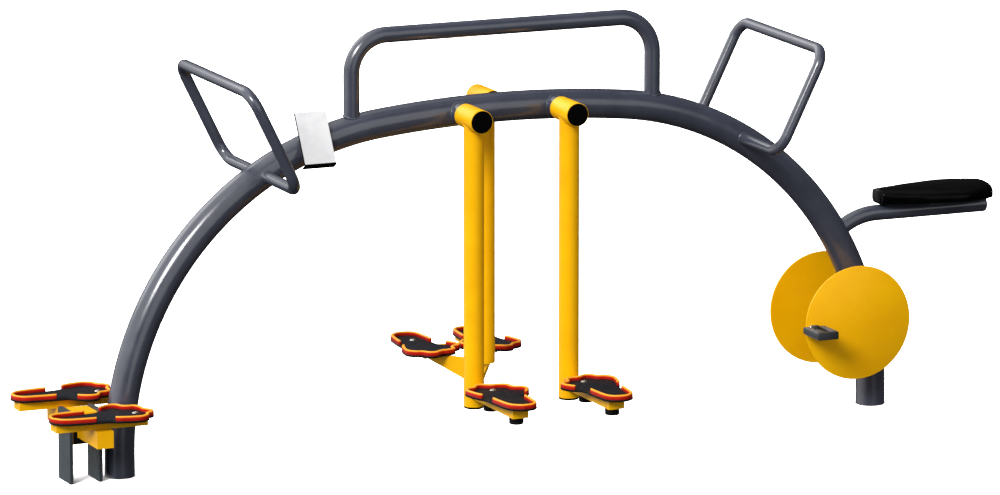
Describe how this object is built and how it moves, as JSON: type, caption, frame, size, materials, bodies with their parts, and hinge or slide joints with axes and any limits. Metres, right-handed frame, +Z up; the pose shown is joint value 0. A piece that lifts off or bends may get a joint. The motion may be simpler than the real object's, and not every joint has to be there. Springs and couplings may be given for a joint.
{
  "type": "childrens fitness station",
  "caption": "Children's outdoor fitness station: a bent steel arch with a handrail, hanging foot swings, a rubber-sprung rocker, and a saddle over pedal cranks.",
  "frame": {"origin": "middle of the plan, on the ground the feet stand on", "axes": "+X towards the saddle, along the arch; +Y towards the rear swing; +Z up"},
  "size_m": [3.1155, 1.086, 1.2799],
  "materials": {
    "graphite_paint": "satin graphite powder coat",
    "yellow_paint": "satin yellow powder coat",
    "pad_rubber": "moulded anti-slip rubber with a red raised rim",
    "black_rubber": "moulded black rubber",
    "black_plastic": "moulded black polyethylene",
    "zinc_steel": "zinc plated",
    "bright_steel": "ground bright steel",
    "sign_sheet": "plain white coated sheet"
  },
  "bodies": {
    "frame": {"arch_tube": "graphite_paint", "handrail": "graphite_paint", "left_handle_loop": "graphite_paint", "right_handle_loop": "graphite_paint", "rocker_left_upright": "graphite_paint", "rocker_right_upright": "graphite_paint", "rocker_axle": "bright_steel", "seat_post": "graphite_paint", "seat_plate": "graphite_paint", "seat_shell": "black_plastic", "crank_housing": "graphite_paint", "crank_bearings": "bright_steel", "sign_plate": "sign_sheet", "sign_bracket": "graphite_paint", "front_left_pivot_stub": "graphite_paint", "front_left_pivot_axle": "bright_steel", "front_left_pivot_bearings": "bright_steel", "front_right_pivot_stub": "graphite_paint", "front_right_pivot_axle": "bright_steel", "front_right_pivot_bearings": "bright_steel", "rear_pivot_stub": "graphite_paint", "rear_pivot_axle": "bright_steel", "rear_pivot_bearings": "bright_steel"},
    "front_left_swing": {"front_left_arm": "yellow_paint", "front_left_sleeve_cap": "black_plastic", "front_left_tube_cap": "black_plastic", "front_left_pad": "pad_rubber", "front_left_pad_bolt": "zinc_steel", "front_left_toe_bumper": "black_rubber", "front_left_heel_bumper": "black_rubber"},
    "front_right_swing": {"front_right_arm": "yellow_paint", "front_right_sleeve_cap": "black_plastic", "front_right_tube_cap": "black_plastic", "front_right_pad": "pad_rubber", "front_right_pad_bolt": "zinc_steel", "front_right_toe_bumper": "black_rubber", "front_right_heel_bumper": "black_rubber"},
    "rear_swing": {"rear_arm": "yellow_paint", "rear_sleeve_cap": "black_plastic", "rear_platform": "yellow_paint", "rear_left_pad": "pad_rubber", "rear_right_pad": "pad_rubber", "rear_left_pad_bolt": "zinc_steel", "rear_right_pad_bolt": "zinc_steel"},
    "rocker": {"rocker_beam": "yellow_paint", "rocker_rubber_bush": "black_rubber", "rocker_left_pad": "pad_rubber", "rocker_right_pad": "pad_rubber", "rocker_left_pad_bolt": "zinc_steel", "rocker_right_pad_bolt": "zinc_steel"},
    "crank": {"crank_axle": "bright_steel", "front_disc": "yellow_paint", "rear_disc": "yellow_paint", "front_pedal_spindle": "zinc_steel", "rear_pedal_spindle": "zinc_steel"},
    "front_pedal_turning": {"front_pedal": "black_plastic"},
    "rear_pedal_turning": {"rear_pedal": "black_plastic"}
  },
  "joints": [
    {"name": "front_left_swing_hinge", "type": "hinge", "parent": "frame", "child": "front_left_swing", "pos_m": [-0.21025, -0.0105, 1.01017], "axis": [0, 1, 0], "range_deg": [-3, 35]},
    {"name": "front_right_swing_hinge", "type": "hinge", "parent": "frame", "child": "front_right_swing", "pos_m": [0.09775, -0.0105, 1.01017], "axis": [0, 1, 0], "range_deg": [-35, 3]},
    {"name": "rear_swing_hinge", "type": "hinge", "parent": "frame", "child": "rear_swing", "pos_m": [-0.05625, -0.0105, 1.01346], "axis": [0, 1, 0], "range_deg": [-30, 30]},
    {"name": "rocker_tilt", "type": "hinge", "parent": "frame", "child": "rocker", "pos_m": [-1.40425, -0.0105, 0.166], "axis": [1, 0, 0], "range_deg": [-12, 12], "stiffness_Nm_per_rad": 250},
    {"name": "crank_spin", "type": "hinge", "parent": "frame", "child": "crank", "pos_m": [1.06375, -0.0105, 0.286], "axis": [0, 1, 0], "continuous": true},
    {"name": "front_pedal_spin", "type": "hinge", "parent": "crank", "child": "front_pedal_turning", "pos_m": [0.90583, -0.136, 0.28104], "axis": [0, 1, 0], "continuous": true},
    {"name": "rear_pedal_spin", "type": "hinge", "parent": "crank", "child": "rear_pedal_turning", "pos_m": [1.22167, 0.115, 0.29096], "axis": [0, 1, 0], "continuous": true}
  ]
}
